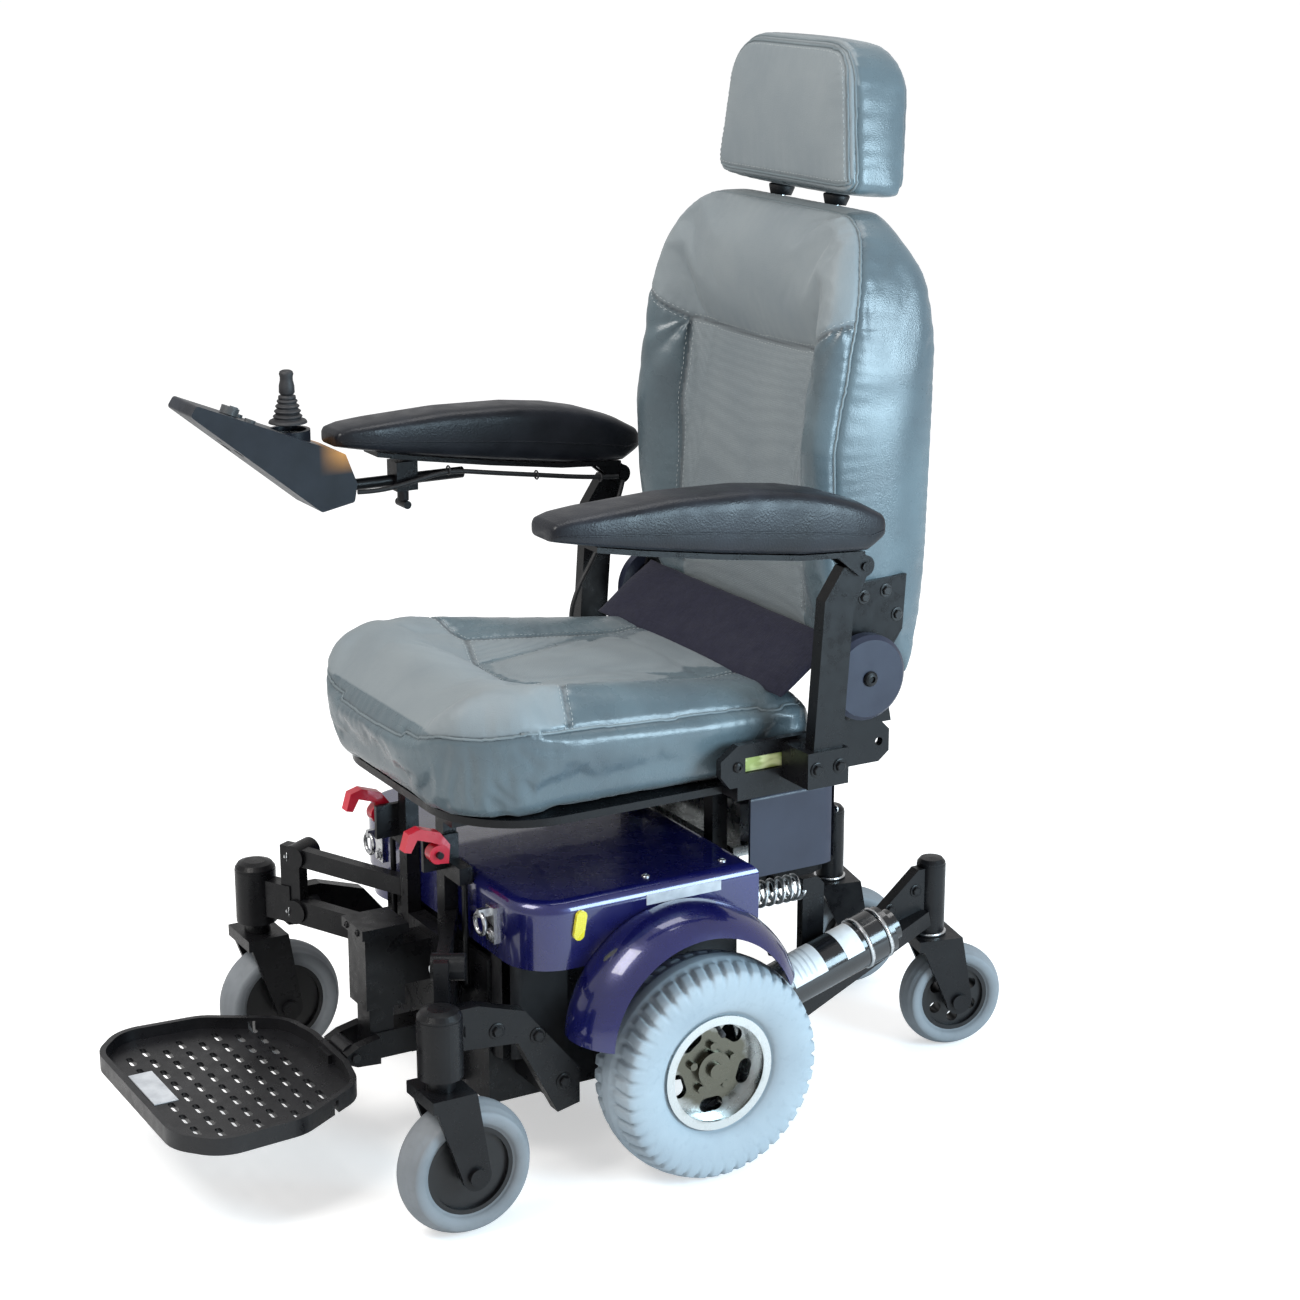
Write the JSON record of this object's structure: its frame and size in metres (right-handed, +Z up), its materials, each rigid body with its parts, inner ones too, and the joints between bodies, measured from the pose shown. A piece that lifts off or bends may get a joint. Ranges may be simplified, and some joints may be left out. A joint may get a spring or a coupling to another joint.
{
  "type": "power wheelchair",
  "caption": "Mid-wheel-drive power wheelchair with sprung rear arms, casters front and rear, padded seat with headrest, flip-up armrests, joystick and flip-up footplate.",
  "frame": {"origin": "on the floor under the middle of the whole chair's box", "axes": "+X to the user's left, -Y forwards, +Z up"},
  "size_m": [0.6144, 1.0914, 1.2472],
  "materials": {
    "frame_black": "satin",
    "shroud_blue": "gloss",
    "reflector_amber": "gloss",
    "steel": "satin",
    "battery_case": "matte",
    "black_plastic": "matte",
    "alloy": "satin",
    "slate_plastic": "satin",
    "seat_vinyl": "satin",
    "cable_rubber": "matte",
    "controller_plastic": "satin",
    "soft_rubber": "matte",
    "button_plastic": "satin",
    "footplate_plastic": "satin",
    "tyre_grey": "matte",
    "caster_grey": "matte",
    "motor_black": "satin",
    "pad_black": "satin",
    "lever_red": "gloss",
    "hub_black": "matte",
    "gap_cover_fabric": "matte"
  },
  "bodies": {
    "base": {"suspension_spring_left": "steel", "suspension_spring_right": "steel", "chassis_frame": "frame_black", "battery_box": "black_plastic", "batteries": "battery_case", "body_shroud": "shroud_blue", "fenders": "shroud_blue", "side_reflectors": "reflector_amber", "tie_down_rings": "steel", "power_module": "alloy", "power_module_cover": "slate_plastic", "front_arms": "frame_black", "footrest_hanger": "frame_black", "seat_frame": "frame_black", "seat_cushion": "seat_vinyl", "seat_brackets": "frame_black", "hinge_covers": "slate_plastic", "gap_cover": "gap_cover_fabric", "cable_drop": "cable_rubber"},
    "drive_unit_left": {"drive_motor_left": "motor_black", "rear_arm_left": "frame_black"},
    "drive_wheel_left": {"drive_tyre_left": "tyre_grey", "drive_rim_left": "alloy"},
    "front_fork_left": {"front_caster_fork_left": "frame_black"},
    "front_wheel_left": {"front_caster_tyre_left": "caster_grey", "front_caster_hub_left": "hub_black"},
    "rear_fork_left": {"rear_caster_fork_left": "frame_black"},
    "rear_wheel_left": {"rear_caster_tyre_left": "caster_grey", "rear_caster_hub_left": "hub_black"},
    "armrest_left": {"armrest_bar_left": "frame_black", "armrest_pad_left": "pad_black"},
    "lever_left": {"freewheel_lever_left": "lever_red"},
    "drive_unit_right": {"drive_motor_right": "motor_black", "rear_arm_right": "frame_black"},
    "drive_wheel_right": {"drive_tyre_right": "tyre_grey", "drive_rim_right": "alloy"},
    "front_fork_right": {"front_caster_fork_right": "frame_black"},
    "front_wheel_right": {"front_caster_tyre_right": "caster_grey", "front_caster_hub_right": "hub_black"},
    "rear_fork_right": {"rear_caster_fork_right": "frame_black"},
    "rear_wheel_right": {"rear_caster_tyre_right": "caster_grey", "rear_caster_hub_right": "hub_black"},
    "armrest_right": {"armrest_bar_right": "frame_black", "armrest_pad_right": "pad_black", "cable_arm": "cable_rubber"},
    "lever_right": {"freewheel_lever_right": "lever_red"},
    "back": {"back_frame": "frame_black", "back_cushion": "seat_vinyl"},
    "headrest": {"headrest_posts": "steel", "headrest_cushion": "seat_vinyl"},
    "controller": {"controller_housing": "controller_plastic", "controller_mount": "frame_black"},
    "gimbal": {"joystick_gimbal": "alloy"},
    "stick": {"joystick": "soft_rubber"},
    "power_button": {"power_button": "button_plastic"},
    "horn_button": {"horn_button": "button_plastic"},
    "dial": {"speed_dial": "button_plastic"},
    "knob": {"clamp_knob": "black_plastic"},
    "footrest": {"footplate": "footplate_plastic"},
    "recline_handle": {"recline_lever": "frame_black"}
  },
  "joints": [
    {"name": "drive_unit_left_rock", "type": "hinge", "parent": "base", "child": "drive_unit_left", "pos_m": [0, 0.03426, 0.13], "axis": [1, 0, 0], "range_deg": [-3.5, 3.5], "stiffness_Nm_per_rad": 2500, "deforming": ["suspension_spring_left"]},
    {"name": "drive_wheel_left_spin", "type": "hinge", "parent": "drive_unit_left", "child": "drive_wheel_left", "pos_m": [0, 0.03426, 0.13], "axis": [1, 0, 0], "continuous": true},
    {"name": "front_caster_left_swivel", "type": "hinge", "parent": "base", "child": "front_fork_left", "pos_m": [0.258, -0.29074, 0], "axis": [0, 0, 1], "continuous": true},
    {"name": "front_caster_left_roll", "type": "hinge", "parent": "front_fork_left", "child": "front_wheel_left", "pos_m": [0.258, -0.26575, 0.077], "axis": [1, 0, 0], "continuous": true},
    {"name": "rear_caster_left_swivel", "type": "hinge", "parent": "drive_unit_left", "child": "rear_fork_left", "pos_m": [0.112, 0.45126, 0], "axis": [0, 0, 1], "continuous": true},
    {"name": "rear_caster_left_roll", "type": "hinge", "parent": "rear_fork_left", "child": "rear_wheel_left", "pos_m": [0.11824, 0.4806, 0.066], "axis": [0.9781, -0.2079, 0], "continuous": true},
    {"name": "armrest_left_flip", "type": "hinge", "parent": "base", "child": "armrest_left", "pos_m": [0.272, 0.22226, 0.688], "axis": [-1, 0, 0], "range_deg": [0, 100]},
    {"name": "freewheel_left_lever", "type": "hinge", "parent": "base", "child": "lever_left", "pos_m": [0.079, -0.20575, 0.366], "axis": [-1, 0, 0], "range_deg": [0, 35]},
    {"name": "drive_unit_right_rock", "type": "hinge", "parent": "base", "child": "drive_unit_right", "pos_m": [0, 0.03426, 0.13], "axis": [1, 0, 0], "range_deg": [-3.5, 3.5], "stiffness_Nm_per_rad": 2500, "deforming": ["suspension_spring_right"]},
    {"name": "drive_wheel_right_spin", "type": "hinge", "parent": "drive_unit_right", "child": "drive_wheel_right", "pos_m": [0, 0.03426, 0.13], "axis": [1, 0, 0], "continuous": true},
    {"name": "front_caster_right_swivel", "type": "hinge", "parent": "base", "child": "front_fork_right", "pos_m": [-0.258, -0.29074, 0], "axis": [0, 0, 1], "continuous": true},
    {"name": "front_caster_right_roll", "type": "hinge", "parent": "front_fork_right", "child": "front_wheel_right", "pos_m": [-0.258, -0.26575, 0.077], "axis": [1, 0, 0], "continuous": true},
    {"name": "rear_caster_right_swivel", "type": "hinge", "parent": "drive_unit_right", "child": "rear_fork_right", "pos_m": [-0.112, 0.45126, 0], "axis": [0, 0, 1], "continuous": true},
    {"name": "rear_caster_right_roll", "type": "hinge", "parent": "rear_fork_right", "child": "rear_wheel_right", "pos_m": [-0.10576, 0.4806, 0.066], "axis": [0.9781, -0.2079, 0], "continuous": true},
    {"name": "armrest_right_flip", "type": "hinge", "parent": "base", "child": "armrest_right", "pos_m": [-0.272, 0.22226, 0.688], "axis": [-1, 0, 0], "range_deg": [0, 100]},
    {"name": "freewheel_right_lever", "type": "hinge", "parent": "base", "child": "lever_right", "pos_m": [-0.079, -0.20575, 0.366], "axis": [-1, 0, 0], "range_deg": [0, 35]},
    {"name": "back_recline", "type": "hinge", "parent": "base", "child": "back", "pos_m": [0, 0.25826, 0.544], "axis": [-1, 0, 0], "range_deg": [-50, 45], "deforming": ["gap_cover"]},
    {"name": "headrest_height", "type": "slide", "parent": "back", "child": "headrest", "axis": [0, 0.1392, 0.9903], "range_m": [0, 0.08]},
    {"name": "footplate_flip", "type": "hinge", "parent": "base", "child": "footrest", "pos_m": [0, -0.29074, 0.118], "axis": [-1, 0, 0], "range_deg": [0, 88]},
    {"name": "controller_reach", "type": "slide", "parent": "armrest_right", "child": "controller", "axis": [0, -1, 0], "range_m": [0, 0.05]},
    {"name": "clamp_knob_turn", "type": "hinge", "parent": "armrest_right", "child": "knob", "pos_m": [-0.269, -0.07575, 0.69], "axis": [0, 0, 1], "range_deg": [0, 180]},
    {"name": "joystick_fore_aft", "type": "hinge", "parent": "controller", "child": "gimbal", "pos_m": [-0.269, -0.22174, 0.779], "axis": [1, 0, 0], "range_deg": [-12, 12], "stiffness_Nm_per_rad": 0.3},
    {"name": "joystick_side", "type": "hinge", "parent": "gimbal", "child": "stick", "pos_m": [-0.269, -0.22174, 0.779], "axis": [0, 1, 0], "range_deg": [-12, 12], "stiffness_Nm_per_rad": 0.3},
    {"name": "power_button_press", "type": "slide", "parent": "controller", "child": "power_button", "axis": [0, -0.3811, -0.9245], "range_m": [0, 0.0015], "stiffness_N_per_m": 600},
    {"name": "horn_button_press", "type": "slide", "parent": "controller", "child": "horn_button", "axis": [0, -0.3811, -0.9245], "range_m": [0, 0.0015], "stiffness_N_per_m": 600},
    {"name": "speed_dial_turn", "type": "hinge", "parent": "controller", "child": "dial", "pos_m": [-0.269, -0.29574, 0.81257], "axis": [0, 0.3811, 0.9245], "range_deg": [-135, 135]},
    {"name": "recline_lever_lift", "type": "hinge", "parent": "base", "child": "recline_handle", "pos_m": [-0.237, 0.28425, 0.461], "axis": [1, 0, 0], "range_deg": [0, 20], "stiffness_Nm_per_rad": 3}
  ]
}
